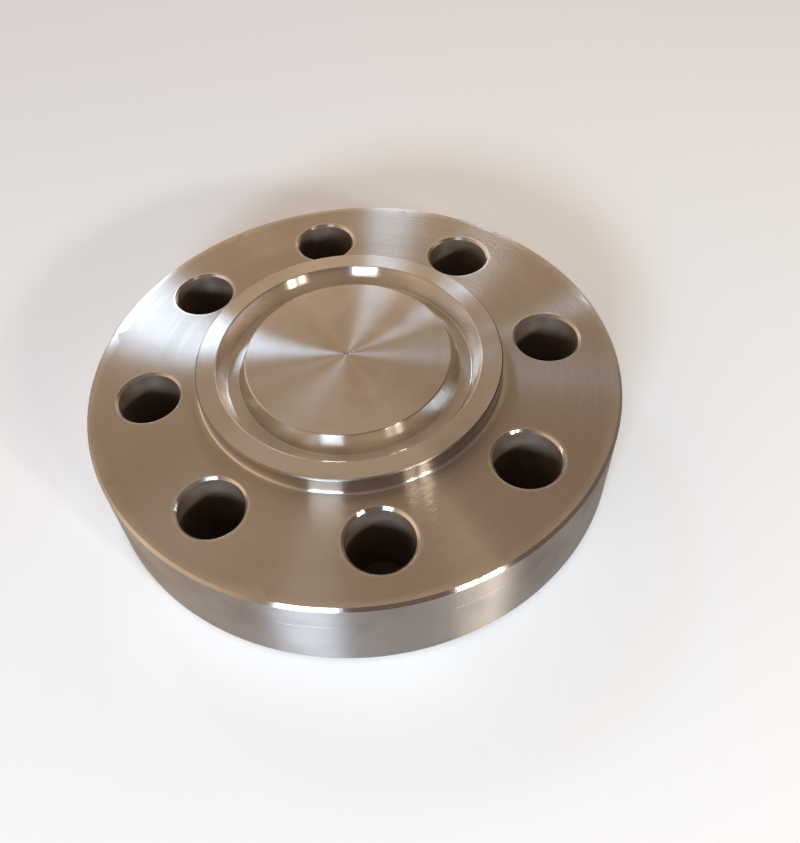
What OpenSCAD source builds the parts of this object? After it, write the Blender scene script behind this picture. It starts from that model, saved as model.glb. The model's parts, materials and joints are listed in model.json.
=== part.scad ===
// Blind flange for a ring-type joint: NPS 2, Class 900 and 1500, ring groove R-24.
//
// The flange is one forging, turned all over and drilled: a round plate, a raised
// boss with a ring groove in its face, and a circle of bolt holes. It has no bore.
//
// Millimetres. The origin is at the centre of the back face, +Z is the flange's axis
// and points out of the gasket face, and one bolt hole is centred on +X.

/* [Plate] */
// Outside diameter of the flange
flange_d = 215.9; // [210:0.1:260]
// Thickness of the plate, from its back face to the foot of the boss
plate_t = 38.1; // [25:0.1:70]
// Width of the 45 degree chamfers round the plate's two outer edges
edge_chamfer = 1.2; // [0.2:0.1:3]

/* [Raised boss] */
// Diameter of the boss
boss_d = 124; // [116:0.5:126]
// Height of the boss over the plate
boss_h = 7.92; // [4:0.01:12]
// Radius of the fillet round the foot of the boss
boss_fillet_r = 1; // [0.4:0.1:1.5]
// Width of the 45 degree chamfer round the top of the boss
boss_chamfer = 0.5; // [0.2:0.1:1]

/* [Ring groove] */
// Pitch diameter of the groove, at the middle of its width
groove_pitch_d = 95.25; // [88:0.05:98]
// Width of the groove at the face of the boss
groove_w = 11.91; // [10:0.01:13]
// Depth of the groove below the face of the boss
groove_depth = 7.92; // [5:0.01:8.5]
// Slope of each flank from the flange's axis, in degrees
groove_flank_angle = 23; // [15:0.5:25]
// Radius in the two corners of the groove's floor
groove_corner_r = 0.8; // [0.2:0.1:1]
// Width of the 45 degree edge break on each lip of the groove
lip_break = 0.3; // [0.1:0.1:0.5]

/* [Bolt holes] */
// Number of bolt holes
bolt_count = 8; // [4:1:12]
// Diameter of the bolt circle
bolt_circle_d = 165.1; // [162:0.1:170]
// Diameter of each bolt hole
bolt_hole_d = 25.4; // [12:0.1:28]
// Width of the 45 degree chamfers at both mouths of each bolt hole
hole_chamfer = 1; // [0.2:0.1:1.5]

/* [Centre mark] */
// Diameter of the small dimple that facing leaves at the centre of the boss
centre_mark_d = 3.2; // [1:0.1:6]
// Depth of the dimple
centre_mark_depth = 0.4; // [0.1:0.1:1]

/* [Hidden] */
$fn = 256;
// How far a cutter runs past the face that it cuts
clear = 1;
flange_r = flange_d / 2;
boss_r = boss_d / 2;
groove_pitch_r = groove_pitch_d / 2;
bolt_circle_r = bolt_circle_d / 2;
bolt_hole_r = bolt_hole_d / 2;
face_z = plate_t + boss_h;
groove_half_w = groove_w / 2;
flank_run = tan(groove_flank_angle);
floor_half_w = groove_half_w - groove_depth * flank_run;
// From the floor's sharp corner to where its round corner meets the floor and the flank
corner_setback = groove_corner_r * tan((90 - groove_flank_angle) / 2);

// Half section of the turned blank: the plate and the boss, with no groove
module blank_section() {
    polygon([
        [0, 0],
        [flange_r - edge_chamfer, 0],
        [flange_r, edge_chamfer],
        [flange_r, plate_t - edge_chamfer],
        [flange_r - edge_chamfer, plate_t],
        [boss_r, plate_t],
        [boss_r, face_z - boss_chamfer],
        [boss_r - boss_chamfer, face_z],
        [0, face_z]
    ]);
    translate([boss_r, plate_t])
        difference() {
            square(boss_fillet_r);
            translate([boss_fillet_r, boss_fillet_r])
                circle(boss_fillet_r);
        }
}

// Section of the ring groove's cutter, with y = 0 at the face of the boss
module groove_section() {
    corner_x = floor_half_w - corner_setback;
    corner_y = groove_corner_r - groove_depth;
    flank_x = floor_half_w + corner_setback * sin(groove_flank_angle);
    flank_y = corner_setback * cos(groove_flank_angle) - groove_depth;
    top_x = groove_half_w + clear * flank_run;
    polygon([
        [-top_x, clear],
        [-flank_x, flank_y],
        [-corner_x, -groove_depth],
        [corner_x, -groove_depth],
        [flank_x, flank_y],
        [top_x, clear]
    ]);
    for (side = [-1, 1])
        translate([side * corner_x, corner_y])
            circle(groove_corner_r);
    polygon([
        [-groove_half_w - lip_break - clear, clear],
        [-groove_half_w - lip_break, 0],
        [-groove_half_w + lip_break, -2 * lip_break],
        [groove_half_w - lip_break, -2 * lip_break],
        [groove_half_w + lip_break, 0],
        [groove_half_w + lip_break + clear, clear]
    ]);
}

// Cutter for the chamfer at a hole's mouth, with z = 0 at the face and +z into the metal
module mouth_chamfer() {
    translate([0, 0, -clear])
        cylinder(r1 = bolt_hole_r + hole_chamfer + clear, r2 = bolt_hole_r, h = hole_chamfer + clear);
}

// Cutter for one bolt hole, right through the plate, with both of its mouths chamfered
module bolt_hole() {
    translate([0, 0, -clear])
        cylinder(r = bolt_hole_r, h = plate_t + 2 * clear);
    mouth_chamfer();
    translate([0, 0, plate_t])
        mirror([0, 0, 1])
            mouth_chamfer();
}

// Cutter for the centre mark, with z = 0 at the face of the boss
module centre_mark() {
    slope = centre_mark_d / 2 / centre_mark_depth;
    translate([0, 0, -centre_mark_depth])
        cylinder(r1 = 0, r2 = slope * (centre_mark_depth + clear), h = centre_mark_depth + clear);
}

// The whole flange: turned blank, ring groove, bolt holes and centre mark
module blind_flange() {
    color([0.66, 0.62, 0.56])
        difference() {
            rotate_extrude()
                blank_section();
            translate([0, 0, face_z])
                rotate_extrude()
                    translate([groove_pitch_r, 0])
                        groove_section();
            for (i = [0 : bolt_count - 1])
                rotate([0, 0, i * 360 / bolt_count])
                    translate([bolt_circle_r, 0, 0])
                        bolt_hole();
            translate([0, 0, face_z])
                centre_mark();
        }
}

blind_flange();
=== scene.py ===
"""Looks for the ring-joint blind flange: a turned and drilled steel forging on a pale studio floor.

Metres throughout. The flange's axis is +Z, its back face lies at z = 0, and a bolt hole is
centred on +X. One closed mesh with fine edges stands for the CAD solid.
"""
import json
import math

import bmesh
import bpy
import numpy as np
from mathutils import Matrix, Vector


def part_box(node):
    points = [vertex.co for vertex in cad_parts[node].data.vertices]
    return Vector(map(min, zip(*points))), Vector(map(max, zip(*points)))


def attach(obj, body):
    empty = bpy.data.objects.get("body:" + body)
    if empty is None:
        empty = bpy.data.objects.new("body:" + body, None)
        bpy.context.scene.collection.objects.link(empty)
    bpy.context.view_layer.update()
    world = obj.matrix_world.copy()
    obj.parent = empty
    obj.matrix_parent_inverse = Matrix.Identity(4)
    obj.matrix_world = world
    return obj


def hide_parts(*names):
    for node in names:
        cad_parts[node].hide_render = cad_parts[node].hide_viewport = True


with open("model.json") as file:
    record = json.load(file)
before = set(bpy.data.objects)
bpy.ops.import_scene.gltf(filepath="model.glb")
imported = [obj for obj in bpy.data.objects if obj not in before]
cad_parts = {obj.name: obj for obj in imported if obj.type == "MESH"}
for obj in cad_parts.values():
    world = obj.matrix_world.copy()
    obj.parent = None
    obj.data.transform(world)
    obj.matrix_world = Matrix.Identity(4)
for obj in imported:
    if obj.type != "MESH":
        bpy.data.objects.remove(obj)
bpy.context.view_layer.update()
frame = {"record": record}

MM = 0.001

# ---------------------------------------------------------------- sizes

LOW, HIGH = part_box("blind_flange")
MOUNTS = {m["name"]: m for m in frame["record"]["mounts"]}
BOLTS = MOUNTS["bolt_holes"]["dims"]

FLANGE_R = (HIGH[0] - LOW[0]) / 2
FACE_Z = HIGH[2]
HOLE_COUNT = BOLTS["count"]
HOLE_R = BOLTS["hole_r_mm"] * MM
BOLT_CIRCLE_R = BOLTS["pcd_mm"] / 2 * MM

BOSS_R = 62.0 * MM
BOSS_H = 7.92 * MM
PLATE_T = FACE_Z - BOSS_H
EDGE_CHAMFER = 1.2 * MM
BOSS_CHAMFER = 0.5 * MM
BOSS_FILLET_R = 1.0 * MM
HOLE_CHAMFER = 1.0 * MM
GROOVE_PITCH_R = 95.25 / 2 * MM
GROOVE_HALF_W = 11.91 / 2 * MM
GROOVE_DEPTH = 7.92 * MM
GROOVE_FLANK = math.radians(23)
GROOVE_CORNER_R = 0.8 * MM
LIP_BREAK = 0.3 * MM
MARK_R = 1.6 * MM
MARK_DEPTH = 0.4 * MM

# Tiny radius on every machined edge, so that no edge is a knife edge
EDGE_R = 0.15 * MM
# The two turning cuts on the rim meet in a shallow band
BAND_Z = 25.5 * MM
BAND_H = 1.5 * MM
BAND_DEPTH = 0.03 * MM

# ---------------------------------------------------------------- mesh resolution

# Steps round one sector of the flange, which is the part round one bolt hole
BOSS_STEPS = 36
RIM_STEPS = 56
SIDE_STEPS = 26
HOLE_STEPS = BOSS_STEPS + RIM_STEPS + 2 * SIDE_STEPS
# Where the rows of vertices lie between a bolt hole, at 0, and the edge of its sector, at 1
WEB_LAYERS = (0.06, 0.16, 0.32, 0.52, 0.75)
# Rings across the middle of the back face, as shares of the boss's radius
BACK_RINGS = (0.66, 0.33, 0.05)
# The first ring of the centre mark, next to its tip, as a share of the mark's radius
MARK_TIP = 0.02
# The most that one step turns on a rounded corner
ARC_STEP = math.radians(18)


def rounded_outline(corners, side):
    """The points of an outline whose corners are rounded, as (point, normal, tag, wear) rows.

    corners holds (distance, z, radius, tag). side is 1 where the metal is on the right of the
    way the outline runs, and -1 where it is on the left. tag says what the stretch that
    follows the corner is.
    """
    rows = []
    last = len(corners) - 1
    for i, (a, z, radius, tag) in enumerate(corners):
        here = np.array((a, z))
        before = here - np.array(corners[i - 1][:2]) if i > 0 else None
        after = np.array(corners[i + 1][:2]) - here if i < last else None
        if before is None or after is None or radius == 0:
            way = after if before is None else before
            way = way / np.linalg.norm(way)
            rows.append((here, side * np.array((-way[1], way[0])), tag, 0.0))
            continue
        u = before / np.linalg.norm(before)
        v = after / np.linalg.norm(after)
        turn = math.atan2(u[0] * v[1] - u[1] * v[0], u @ v)
        setback = radius * math.tan(abs(turn) / 2)
        steps = max(2, math.ceil(abs(turn) / ARC_STEP))
        start = here - u * setback
        normal_in = side * np.array((-u[1], u[0]))
        to_centre = np.array((-u[1], u[0])) * math.copysign(radius, turn)
        centre = start + to_centre
        for k in range(steps + 1):
            spin = turn * k / steps
            c, s = math.cos(spin), math.sin(spin)
            spin_matrix = np.array(((c, -s), (s, c)))
            rows.append((centre + spin_matrix @ (start - centre), spin_matrix @ normal_in, tag, 1.0))
    return rows


class Shell:
    """Vertices, their exact normals and the faces of a closed mesh."""

    def __init__(self):
        self.points = []
        self.normals = []
        self.wear = []
        self.faces = []
        self.parts = []

    def add(self, point, normal, wear):
        self.points.append(tuple(float(c) for c in point))
        self.normals.append(tuple(float(c) for c in normal))
        self.wear.append(float(wear))
        return len(self.points) - 1

    def bridge(self, ring_a, ring_b, part, closed=True):
        """Quads between two rows of vertices with the same count."""
        count = len(ring_a)
        for k in range(count if closed else count - 1):
            n = (k + 1) % count
            self.faces.append((ring_a[k], ring_b[k], ring_b[n], ring_a[n]))
            self.parts.append(part)

    def fan(self, ring, centre, part):
        for k, vertex in enumerate(ring):
            self.faces.append((vertex, ring[(k + 1) % len(ring)], centre))
            self.parts.append(part)


def ring(shell, row, steps, centre=(0.0, 0.0), start=0.0, clockwise=False):
    """One circle of vertices at a row of an outline."""
    (distance, z), normal, _, wear = row
    way = -1 if clockwise else 1
    ids = []
    for k in range(steps):
        t = start + way * 2 * math.pi * k / steps
        c, s = math.cos(t), math.sin(t)
        point = (centre[0] + distance * c, centre[1] + distance * s, z)
        ids.append(shell.add(point, (normal[0] * c, normal[0] * s, normal[1]), wear))
    return ids


def turned(shell, rows, steps, start):
    """The surface that an outline sweeps round the flange's axis. Returns its first and last rings."""
    rings = [ring(shell, row, steps, start=start) for row in rows]
    for a, b, row in zip(rings, rings[1:], rows):
        shell.bridge(a, b, row[2])
    return rings[0], rings[-1]


SECTOR = 2 * math.pi / HOLE_COUNT


def web(shell, inner, outer, hole_rings, z, up, part):
    """The flat face between the boss, the rim and the bolt holes, in sectors with one hole each."""
    spokes = []
    for i in range(HOLE_COUNT):
        a, b = inner[i * BOSS_STEPS], outer[i * RIM_STEPS]
        pa, pb = np.array(shell.points[a]), np.array(shell.points[b])
        middle = [
            shell.add(pa + (pb - pa) * k / SIDE_STEPS, (0, 0, up), 0)
            for k in range(1, SIDE_STEPS)
        ]
        spokes.append([a, *middle, b])
    for i in range(HOLE_COUNT):
        n = (i + 1) % HOLE_COUNT
        inner_arc = [inner[(i * BOSS_STEPS + k) % len(inner)] for k in range(BOSS_STEPS + 1)]
        outer_arc = [outer[(i * RIM_STEPS + k) % len(outer)] for k in range(RIM_STEPS + 1)]
        border = inner_arc[:-1] + spokes[n][:-1] + outer_arc[::-1][:-1] + spokes[i][::-1][:-1]
        hole = hole_rings[i]
        layers = [hole]
        for t in WEB_LAYERS:
            layer = []
            for h, b in zip(hole, border):
                ph, pb = np.array(shell.points[h]), np.array(shell.points[b])
                layer.append(shell.add(ph + (pb - ph) * t, (0, 0, up), 0))
            layers.append(layer)
        layers.append(border)
        for a, b in zip(layers, layers[1:]):
            shell.bridge(a, b, part)


def groove_corners():
    """The outline of the boss, from its centre mark, across its groove and down its side."""
    run = math.tan(GROOVE_FLANK)
    floor_half_w = GROOVE_HALF_W - GROOVE_DEPTH * run
    floor_z = FACE_Z - GROOVE_DEPTH
    lip_run = LIP_BREAK * run
    return [
        (MARK_R, FACE_Z, EDGE_R, "face"),
        (GROOVE_PITCH_R - GROOVE_HALF_W - LIP_BREAK, FACE_Z, EDGE_R, "edge"),
        (GROOVE_PITCH_R - GROOVE_HALF_W + lip_run, FACE_Z - LIP_BREAK, EDGE_R, "groove"),
        (GROOVE_PITCH_R - floor_half_w, floor_z, GROOVE_CORNER_R, "groove"),
        (GROOVE_PITCH_R + floor_half_w, floor_z, GROOVE_CORNER_R, "groove"),
        (GROOVE_PITCH_R + GROOVE_HALF_W - lip_run, FACE_Z - LIP_BREAK, EDGE_R, "edge"),
        (GROOVE_PITCH_R + GROOVE_HALF_W + LIP_BREAK, FACE_Z, EDGE_R, "face"),
        (BOSS_R - BOSS_CHAMFER, FACE_Z, EDGE_R, "brow"),
        (BOSS_R, FACE_Z - BOSS_CHAMFER, EDGE_R, "side"),
        (BOSS_R, PLATE_T, BOSS_FILLET_R, "face"),
    ]


def build_flange():
    """The whole flange as one closed shell."""
    shell = Shell()
    start = -SECTOR / 2

    # The face of the boss, its groove and its side, down to the plate
    top_corners = [(MARK_R * MARK_TIP, FACE_Z - MARK_DEPTH, 0, "mark"), *groove_corners()]
    top_corners.append((BOSS_R + 3 * BOSS_FILLET_R, PLATE_T, 0, "face"))
    top_rows = rounded_outline(top_corners, 1)[:-1]
    boss_steps = BOSS_STEPS * HOLE_COUNT
    top_first, boss_foot = turned(shell, top_rows, boss_steps, start)
    tip = shell.add((0, 0, FACE_Z - MARK_DEPTH), (0, 0, 1), 0)
    shell.fan(top_first, tip, "mark")

    # The rim, with its chamfers and the shallow band where two cuts meet
    rim_corners = [
        (FLANGE_R - 2 * EDGE_CHAMFER, PLATE_T, 0, "face"),
        (FLANGE_R - EDGE_CHAMFER, PLATE_T, EDGE_R, "edge"),
        (FLANGE_R, PLATE_T - EDGE_CHAMFER, EDGE_R, "rim"),
        (FLANGE_R, BAND_Z + BAND_H, BAND_DEPTH, "rim"),
        (FLANGE_R - BAND_DEPTH, BAND_Z + BAND_H - BAND_DEPTH, BAND_DEPTH, "rim"),
        (FLANGE_R - BAND_DEPTH, BAND_Z + BAND_DEPTH, BAND_DEPTH, "rim"),
        (FLANGE_R, BAND_Z, BAND_DEPTH, "rim"),
        (FLANGE_R, EDGE_CHAMFER, EDGE_R, "edge"),
        (FLANGE_R - EDGE_CHAMFER, 0, EDGE_R, "back"),
        (FLANGE_R - 2 * EDGE_CHAMFER, 0, 0, "back"),
    ]
    rim_rows = rounded_outline(rim_corners, 1)[1:-1]
    rim_steps = RIM_STEPS * HOLE_COUNT
    rim_top, rim_bottom = turned(shell, rim_rows, rim_steps, start)

    # The bolt holes
    hole_corners = [
        (HOLE_R + 2 * HOLE_CHAMFER, PLATE_T, 0, "face"),
        (HOLE_R + HOLE_CHAMFER, PLATE_T, EDGE_R, "edge"),
        (HOLE_R, PLATE_T - HOLE_CHAMFER, EDGE_R, "bore"),
        (HOLE_R, HOLE_CHAMFER, EDGE_R, "edge"),
        (HOLE_R + HOLE_CHAMFER, 0, EDGE_R, "back"),
        (HOLE_R + 2 * HOLE_CHAMFER, 0, 0, "back"),
    ]
    hole_rows = rounded_outline(hole_corners, -1)[1:-1]
    hole_tops, hole_bottoms = [], []
    for i in range(HOLE_COUNT):
        turn = i * SECTOR
        centre = (BOLT_CIRCLE_R * math.cos(turn), BOLT_CIRCLE_R * math.sin(turn))
        first = turn + math.pi + math.pi * BOSS_STEPS / HOLE_STEPS
        rings = [ring(shell, row, HOLE_STEPS, centre, first, clockwise=True) for row in hole_rows]
        for a, b, row in zip(rings, rings[1:], hole_rows):
            shell.bridge(a, b, row[2])
        hole_tops.append(rings[0])
        hole_bottoms.append(rings[-1])

    # The plate's two flat faces
    web(shell, boss_foot, rim_top, hole_tops, PLATE_T, 1, "face")
    back_row = (np.array((BOSS_R, 0.0)), np.array((0.0, -1.0)), "back", 0.0)
    back_ring = ring(shell, back_row, boss_steps, start=start)
    web(shell, back_ring, rim_bottom, hole_bottoms, 0.0, -1, "back")
    back_rings = [back_ring]
    for share in BACK_RINGS:
        row = (np.array((BOSS_R * share, 0.0)), back_row[1], "back", 0.0)
        back_rings.append(ring(shell, row, boss_steps, start=start))
    for a, b in zip(back_rings, back_rings[1:]):
        shell.bridge(a, b, "back")
    shell.fan(back_rings[-1], shell.add((0, 0, 0), (0, 0, -1), 0), "back")
    return shell


def make_object(name, shell, materials):
    """A mesh object from a shell. materials maps the tag of each face to its finish."""
    mesh = bpy.data.meshes.new(name)
    mesh.from_pydata(shell.points, [], shell.faces)
    slots = list(dict.fromkeys(materials.values()))
    for material in slots:
        mesh.materials.append(material)
    mesh.polygons.foreach_set("material_index", [slots.index(materials[p]) for p in shell.parts])
    mesh.polygons.foreach_set("use_smooth", [True] * len(shell.parts))
    wear = mesh.attributes.new("wear", "FLOAT", "POINT")
    wear.data.foreach_set("value", shell.wear)
    work = bmesh.new()
    work.from_mesh(mesh)
    bmesh.ops.recalc_face_normals(work, faces=work.faces)
    work.to_mesh(mesh)
    work.free()
    mesh.normals_split_custom_set_from_vertices(shell.normals)
    mesh.validate()
    made = bpy.data.objects.new(name, mesh)
    bpy.context.scene.collection.objects.link(made)
    return made


# ---------------------------------------------------------------- materials


class Graph:
    """One material's shader nodes, with short calls for what the finishes below share."""

    def __init__(self, name):
        self.material = bpy.data.materials.new(name)
        self.material.use_nodes = True
        self.nodes = self.material.node_tree.nodes
        self.links = self.material.node_tree.links
        self.shader = self.nodes["Principled BSDF"]

    def feed(self, socket, value):
        """Links a socket to another, or sets its own value."""
        if isinstance(value, bpy.types.NodeSocket):
            self.links.new(value, socket)
        else:
            socket.default_value = value

    def node(self, kind, *values, **settings):
        made = self.nodes.new(kind)
        for setting, value in settings.items():
            setattr(made, setting, value)
        for socket, value in zip(made.inputs, values):
            self.feed(socket, value)
        return made

    def math(self, operation, *values):
        return self.node("ShaderNodeMath", *values, operation=operation).outputs[0]

    def vector(self, x, y, z):
        return self.node("ShaderNodeCombineXYZ", x, y, z).outputs[0]

    def noise(self, vector, detail=2.0, scale=1.0):
        made = self.node("ShaderNodeTexNoise", vector)
        made.inputs["Scale"].default_value = scale
        made.inputs["Detail"].default_value = detail
        return made.outputs[0]

    def remap(self, value, low, high, to_low, to_high):
        return self.node("ShaderNodeMapRange", value, low, high, to_low, to_high).outputs[0]

    def mix(self, factor, first, second):
        made = self.nodes.new("ShaderNodeMix")
        made.data_type = "RGBA"
        self.feed(made.inputs["Factor"], factor)
        colours = [i for i in made.inputs if i.type == "RGBA"]
        self.feed(colours[0], (*first, 1) if isinstance(first, tuple) else first)
        self.feed(colours[1], (*second, 1) if isinstance(second, tuple) else second)
        return next(o for o in made.outputs if o.type == "RGBA")

    def bump(self, height, strength, distance):
        made = self.nodes.new("ShaderNodeBump")
        made.inputs["Strength"].default_value = strength
        made.inputs["Distance"].default_value = distance
        self.links.new(height, made.inputs["Height"])
        self.links.new(made.outputs["Normal"], self.shader.inputs["Normal"])

    def place(self):
        """The point on the object and its three coordinates, in metres."""
        point = self.nodes.new("ShaderNodeTexCoord").outputs["Object"]
        return point, *self.node("ShaderNodeSeparateXYZ", point).outputs


# Turning marks, smudges and stains in a metre of steel
FINE_MARKS = 3500
BROAD_MARKS = 260
SMUDGES = 32.0
STAINS = 11.0
# How much a rise counts beside a step out from the axis, in the place of a turning mark
RISE_SHARE = 1.37
# Drilling marks up a metre of bore, how far they wander round it, and blots of oil in a metre
BORE_MARKS = 2600
BORE_DRIFT = 60
OIL_BLOTS = 90.0


def turned_finish(name, colours, roughness, anisotropic, mark_height):
    """Steel cut on a lathe: fine marks round the flange's axis, with worn, brighter edges.

    colours holds the darkest tone, the lightest tone and the tone of a worn edge.
    """
    g = Graph(name)
    point, x, y, z = g.place()
    radius = g.math("SQRT", g.math("ADD", g.math("MULTIPLY", x, x), g.math("MULTIPLY", y, y)))
    round_x = g.math("DIVIDE", x, radius)
    round_y = g.math("DIVIDE", y, radius)
    # How far the cut has come: it changes across every face, flank and wall
    travel = g.math("ADD", radius, g.math("MULTIPLY", z, RISE_SHARE))

    def rings(per_metre, drift, detail):
        """Noise drawn out round the axis, with so many marks per metre of travel."""
        step = g.math("MULTIPLY", travel, per_metre)
        return g.noise(
            g.vector(step, g.math("MULTIPLY", round_x, drift), g.math("MULTIPLY", round_y, drift)), detail
        )

    fine = rings(FINE_MARKS, 1.6, 3.0)
    broad = rings(BROAD_MARKS, 0.8, 2.0)
    smudge = g.noise(point, 4.0, SMUDGES)
    stain = g.noise(point, 3.0, STAINS)
    tone = g.math("ADD", g.math("MULTIPLY", broad, 0.45), g.math("MULTIPLY", smudge, 0.55))
    base = g.mix(g.remap(tone, 0.35, 0.65, 0.0, 1.0), colours[0], colours[1])
    base = g.mix(g.remap(fine, 0.3, 0.7, 0.0, 0.22), base, colours[0])
    worn = g.nodes.new("ShaderNodeAttribute")
    worn.attribute_name = "wear"
    edge = g.math("MULTIPLY", worn.outputs["Fac"], g.remap(smudge, 0.35, 0.6, 0.35, 1.0))
    base = g.mix(edge, base, colours[2])
    g.feed(g.shader.inputs["Base Color"], base)
    rough = g.math("ADD", g.remap(stain, 0.3, 0.7, -0.025, 0.025), g.remap(fine, 0.3, 0.7, -0.02, 0.02))
    rough = g.math("ADD", rough, roughness)
    rough = g.math("MULTIPLY", rough, g.math("SUBTRACT", 1.0, g.math("MULTIPLY", edge, 0.35)))
    g.feed(g.shader.inputs["Roughness"], rough)
    g.shader.inputs["Metallic"].default_value = 1
    g.shader.inputs["Anisotropic"].default_value = anisotropic
    g.shader.inputs["Anisotropic Rotation"].default_value = 0.25
    tangent = g.node("ShaderNodeTangent", direction_type="RADIAL", axis="Z")
    g.links.new(tangent.outputs["Tangent"], g.shader.inputs["Tangent"])
    g.bump(fine, 0.5, mark_height)
    return g.material


def bored_finish(name):
    """Drilled steel, painted dark as painted shade deep in each hole, with blots of oil and coarse marks
    round each hole.
    """
    g = Graph(name)
    point, x, y, z = g.place()
    marks = g.noise(
        g.vector(
            g.math("MULTIPLY", x, BORE_DRIFT),
            g.math("MULTIPLY", y, BORE_DRIFT),
            g.math("MULTIPLY", z, BORE_MARKS),
        ),
        3.0,
    )
    oil = g.noise(point, 4.0, OIL_BLOTS)
    # Painted shade: the bore's tones are dark for the shade deep in the hole, not for the steel's own
    # colour
    base = g.mix(g.remap(oil, 0.35, 0.65, 0.0, 1.0), (0.20, 0.15, 0.115), (0.29, 0.23, 0.185))
    base = g.mix(g.remap(marks, 0.3, 0.7, 0.0, 0.5), base, (0.15, 0.115, 0.09))
    g.feed(g.shader.inputs["Base Color"], base)
    g.feed(g.shader.inputs["Roughness"], g.remap(oil, 0.3, 0.7, 0.42, 0.55))
    g.shader.inputs["Metallic"].default_value = 0.25
    g.shader.inputs["Anisotropic"].default_value = 0.7
    g.shader.inputs["Anisotropic Rotation"].default_value = 0.25
    # The marks run round the hole, level and square to the wall
    normal = g.nodes.new("ShaderNodeNewGeometry").outputs["Normal"]
    level = g.node("ShaderNodeVectorMath", normal, (0, 0, 1), operation="CROSS_PRODUCT")
    g.links.new(level.outputs[0], g.shader.inputs["Tangent"])
    g.bump(marks, 0.5, 0.03 * MM)
    return g.material


# The darkest tone, the lightest tone and the tone of a worn edge
TAN_STEEL = ((0.56, 0.50, 0.43), (0.61, 0.55, 0.475), (0.80, 0.76, 0.70))
GREY_STEEL = ((0.49, 0.45, 0.415), (0.62, 0.575, 0.54), (0.82, 0.78, 0.74))
# The boss's side: the faced steel's tones at about two thirds, painted shade
SHADED_TAN_STEEL = ((0.39, 0.34, 0.29), (0.43, 0.375, 0.325), (0.66, 0.61, 0.56))
# The boss's chamfer: painted shade, a dark line round the top edge of the boss
PAINTED_SHADE_STEEL = ((0.17, 0.15, 0.13), (0.24, 0.215, 0.19), (0.30, 0.275, 0.25))
face_steel = turned_finish("faced_steel", TAN_STEEL, 0.25, 1.0, 0.003 * MM)
groove_steel = turned_finish("groove_steel", TAN_STEEL, 0.25, 1.0, 0.003 * MM)
# The boss's side wall is the faced steel with painted shade in its colour
shaded_side_steel = turned_finish("shaded_side_steel", SHADED_TAN_STEEL, 0.25, 1.0, 0.003 * MM)
rim_steel = turned_finish("rim_steel", GREY_STEEL, 0.45, 1.0, 0.006 * MM)
# The chamfer round the boss's face is painted dark as painted shade
painted_shade_brow_steel = turned_finish("painted_shade_brow_steel", PAINTED_SHADE_STEEL, 0.5, 0.5, 0.006 * MM)
shaded_bored_steel = bored_finish("shaded_bored_steel")

MATERIALS = {
    "face": face_steel,
    "side": shaded_side_steel,
    "rim": rim_steel,
    "groove": groove_steel,
    "edge": groove_steel,
    "brow": painted_shade_brow_steel,
    "mark": rim_steel,
    "back": face_steel,
    "bore": shaded_bored_steel,
}

flange = make_object("flange_forging", build_flange(), MATERIALS)
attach(flange, "root")
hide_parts("blind_flange")

# ---------------------------------------------------------------- floor, lights and camera

# The floor's tone to the camera, lighter than a real floor's, and its tone in the steel
FLOOR_SEEN = (1.3, 1.4, 1.45)
FLOOR_REFLECTED = (0.5, 0.5, 0.5)
# Painted shade on the floor under the flange: a dark disc, where the eight holes show it
FLOOR_PAINTED_SHADE = (0.20, 0.16, 0.13)


def pale_floor():
    """A matt pale floor, lighter to the camera than in the steel, with a dark disc of painted shade under
    the flange.
    """
    material = bpy.data.materials.new("pale_floor")
    material.use_nodes = True
    nodes, links = material.node_tree.nodes, material.node_tree.links
    nodes.remove(nodes["Principled BSDF"])
    seen, reflected = nodes.new("ShaderNodeBsdfDiffuse"), nodes.new("ShaderNodeBsdfDiffuse")
    point = nodes.new("ShaderNodeTexCoord").outputs["Object"]
    reach = nodes.new("ShaderNodeVectorMath")
    reach.operation = "LENGTH"
    links.new(point, reach.inputs[0])
    outside_painted_shade = nodes.new("ShaderNodeMath")
    outside_painted_shade.operation = "GREATER_THAN"
    outside_painted_shade.inputs[1].default_value = FLANGE_R - 2 * EDGE_CHAMFER
    links.new(reach.outputs["Value"], outside_painted_shade.inputs[0])
    for shader, colour in ((seen, FLOOR_SEEN), (reflected, FLOOR_REFLECTED)):
        tone = nodes.new("ShaderNodeMix")
        tone.data_type = "RGBA"
        sockets = [i for i in tone.inputs if i.type == "RGBA"]
        links.new(outside_painted_shade.outputs[0], tone.inputs["Factor"])
        # Under the flange the floor takes the dark tone of the painted shade
        sockets[0].default_value = (*FLOOR_PAINTED_SHADE, 1)
        sockets[1].default_value = (*colour, 1)
        links.new(next(o for o in tone.outputs if o.type == "RGBA"), shader.inputs["Color"])
    choice = nodes.new("ShaderNodeMixShader")
    links.new(nodes.new("ShaderNodeLightPath").outputs["Is Camera Ray"], choice.inputs[0])
    links.new(reflected.outputs[0], choice.inputs[1])
    links.new(seen.outputs[0], choice.inputs[2])
    links.new(choice.outputs[0], nodes["Material Output"].inputs["Surface"])
    return material


# A round floor, as far as the lights reach
FLOOR_R = 1.5
FLOOR_STEPS = 128
floor_mesh = bpy.data.meshes.new("floor")
turns = [2 * math.pi * k / FLOOR_STEPS for k in range(FLOOR_STEPS)]
floor_mesh.from_pydata(
    [(FLOOR_R * math.cos(a), FLOOR_R * math.sin(a), 0) for a in turns], [], [tuple(range(FLOOR_STEPS))]
)
floor = bpy.data.objects.new("floor", floor_mesh)
bpy.context.scene.collection.objects.link(floor)
floor_mesh.materials.append(pale_floor())

# The room as the steel sees it: each side has one tint, and a brightness at a few elevations in
# degrees. A bright wall stands behind the flange, and the camera's side is dim
WALL_TINT = (1.0, 0.74, 0.53)
WALL_LEVELS = {30: 0.85, 45: 0.35, 75: 0.5}
DIM_TINT = (1.0, 0.70, 0.58)
DIM_LEVELS = {30: 0.14, 75: 0.25}
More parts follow.
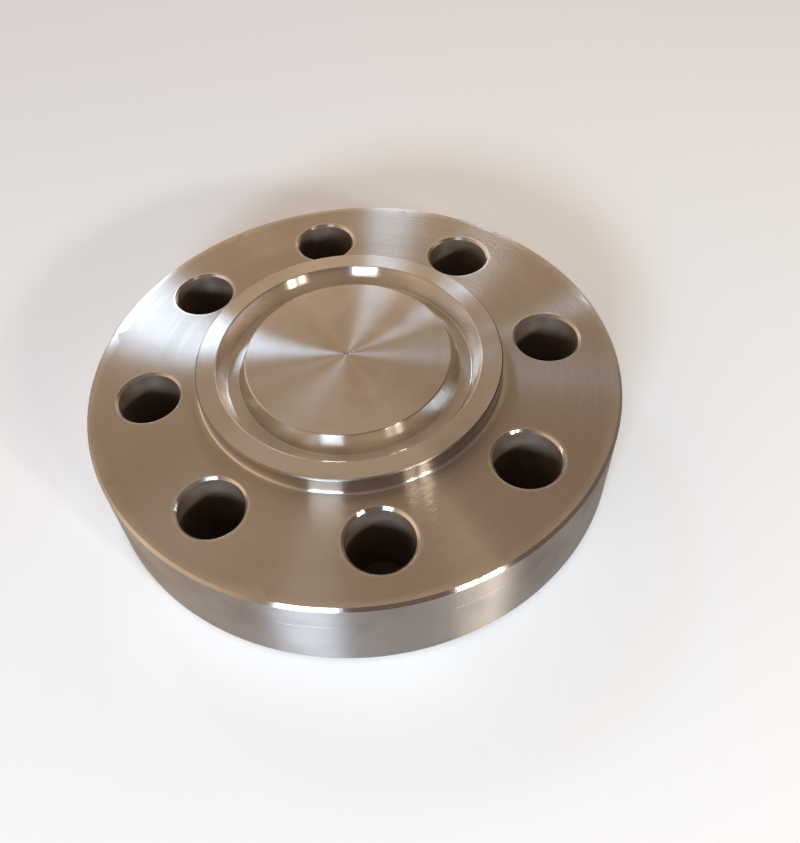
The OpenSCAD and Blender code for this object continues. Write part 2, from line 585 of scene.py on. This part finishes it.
# The azimuth of the bright side
SKY_AZIMUTH = 135
# Half the width of the soft change from one side of the room to the other, as a share of its radius
SKY_BLEND = 0.4
BACKDROP = (0.82, 0.82, 0.82)


def studio_sky():
    """A plain pale backdrop to the camera, and a graded warm room to everything else."""
    world = bpy.data.worlds.new("studio")
    world.use_nodes = True
    nodes, links = world.node_tree.nodes, world.node_tree.links

    def step(kind, *values, **settings):
        made = nodes.new(kind)
        for setting, value in settings.items():
            setattr(made, setting, value)
        for socket, value in zip(made.inputs, values):
            if isinstance(value, bpy.types.NodeSocket):
                links.new(value, socket)
            else:
                socket.default_value = value
        return made

    def mix(factor, first, second):
        made = step("ShaderNodeMix", data_type="RGBA")
        links.new(factor, made.inputs["Factor"])
        for socket, colour in zip((i for i in made.inputs if i.type == "RGBA"), (first, second)):
            if isinstance(colour, tuple):
                socket.default_value = (*colour, 1)
            else:
                links.new(colour, socket)
        return next(o for o in made.outputs if o.type == "RGBA")

    def graded(height, tint, levels):
        ramp = step("ShaderNodeValToRGB", height)
        stops = ramp.color_ramp.elements
        stops.remove(stops[-1])
        for k, (elevation, level) in enumerate(levels.items()):
            stop = stops[0] if k == 0 else stops.new(elevation / 90)
            stop.position = elevation / 90
            stop.color = (*(level * part for part in tint), 1)
        return ramp.outputs["Color"]

    way = nodes.new("ShaderNodeTexCoord").outputs["Generated"]
    split = step("ShaderNodeSeparateXYZ", way)
    angle = step("ShaderNodeMath", split.outputs["Z"], operation="ARCSINE").outputs[0]
    height = step("ShaderNodeMath", angle, math.pi / 2, operation="DIVIDE").outputs[0]
    a = math.radians(SKY_AZIMUTH)
    lean = step("ShaderNodeVectorMath", way, (math.cos(a), math.sin(a), 0), operation="DOT_PRODUCT")
    behind = step("ShaderNodeMapRange", lean.outputs["Value"], -SKY_BLEND, SKY_BLEND, 0.0, 1.0).outputs[0]
    room = mix(behind, graded(height, DIM_TINT, DIM_LEVELS), graded(height, WALL_TINT, WALL_LEVELS))
    seen = nodes.new("ShaderNodeLightPath").outputs["Is Camera Ray"]
    links.new(mix(seen, room, BACKDROP), nodes["Background"].inputs["Color"])
    return world


bpy.context.scene.world = studio_sky()


def soft_light(name, azimuth, elevation, distance, width, height, power, colour):
    """A soft box that faces the flange: angles in degrees, azimuth from +X, sizes in metres, watts."""
    data = bpy.data.lights.new(name, "AREA")
    data.shape = "RECTANGLE"
    data.size = width
    data.size_y = height
    data.energy = power
    data.color = colour
    light = bpy.data.objects.new(name, data)
    a, e = math.radians(azimuth), math.radians(elevation)
    way = Vector((math.cos(a) * math.cos(e), math.sin(a) * math.cos(e), math.sin(e)))
    target = Vector((0, 0, FACE_Z))
    light.location = target + way * distance
    light.rotation_euler = way.to_track_quat("Z", "Y").to_euler()
    bpy.context.scene.collection.objects.link(light)


COOL = (0.52, 0.72, 1.0)
WHITE = (0.68, 0.82, 1.0)
WARM = (1.0, 0.93, 0.82)
# Behind the flange: the window, a tall strip and two small lamps
soft_light("window", 109, 36, 2.0, 0.26, 0.24, 2.3, COOL)
soft_light("strip", 80, 18, 2.0, 0.17, 1.2, 1.75, COOL)
soft_light("far_lamp", 73, 39, 2.0, 0.12, 0.05, 0.2, COOL)
soft_light("right_lamp", 55, 33, 2.0, 0.05, 0.06, 0.28, COOL)
# On the camera's side: one broad box and two narrow lamps
soft_light("front_box", -115, 20, 1.4, 0.44, 0.25, 11.0, WHITE)
soft_light("front_lamp", -54, 20, 1.2, 0.11, 0.10, 2.9, WARM)
soft_light("side_lamp", -63, 20, 1.2, 0.11, 0.10, 1.5, WARM)

# The camera stands in front of the flange and above it, a little to its left
CAMERA_ELEVATION = math.radians(48.63)
CAMERA_AZIMUTH = math.radians(-1.61)
CAMERA_ROLL = math.radians(-7.449)
CAMERA_DISTANCE = 0.3378
CAMERA_OFFSET = Vector((-0.00347, -0.01104))
CAMERA_LENS = 35.31
CAMERA_SHIFT = Vector((0.0716, -0.0365))
AIM = Vector((0, 0, 0.040))

camera_data = bpy.data.cameras.new("camera")
camera = bpy.data.objects.new("camera", camera_data)
bpy.context.scene.collection.objects.link(camera)
sa, ca = math.sin(CAMERA_AZIMUTH), math.cos(CAMERA_AZIMUTH)
se, ce = math.sin(CAMERA_ELEVATION), math.cos(CAMERA_ELEVATION)
back = Vector((sa * ce, -ca * ce, se))
right = Vector((ca, sa, 0))
up = back.cross(right)
turn = Matrix((right, up, back)).transposed() @ Matrix.Rotation(CAMERA_ROLL, 3, "Z")
camera.matrix_world = turn.to_4x4()
camera.location = AIM + turn @ Vector((CAMERA_OFFSET.x, CAMERA_OFFSET.y, CAMERA_DISTANCE))
camera_data.sensor_width = 36
camera_data.lens = CAMERA_LENS
camera_data.shift_x = CAMERA_SHIFT.x
camera_data.shift_y = CAMERA_SHIFT.y
camera_data.clip_start = 0.01
bpy.context.scene.camera = camera
bpy.context.scene.view_settings.view_transform = "Standard"
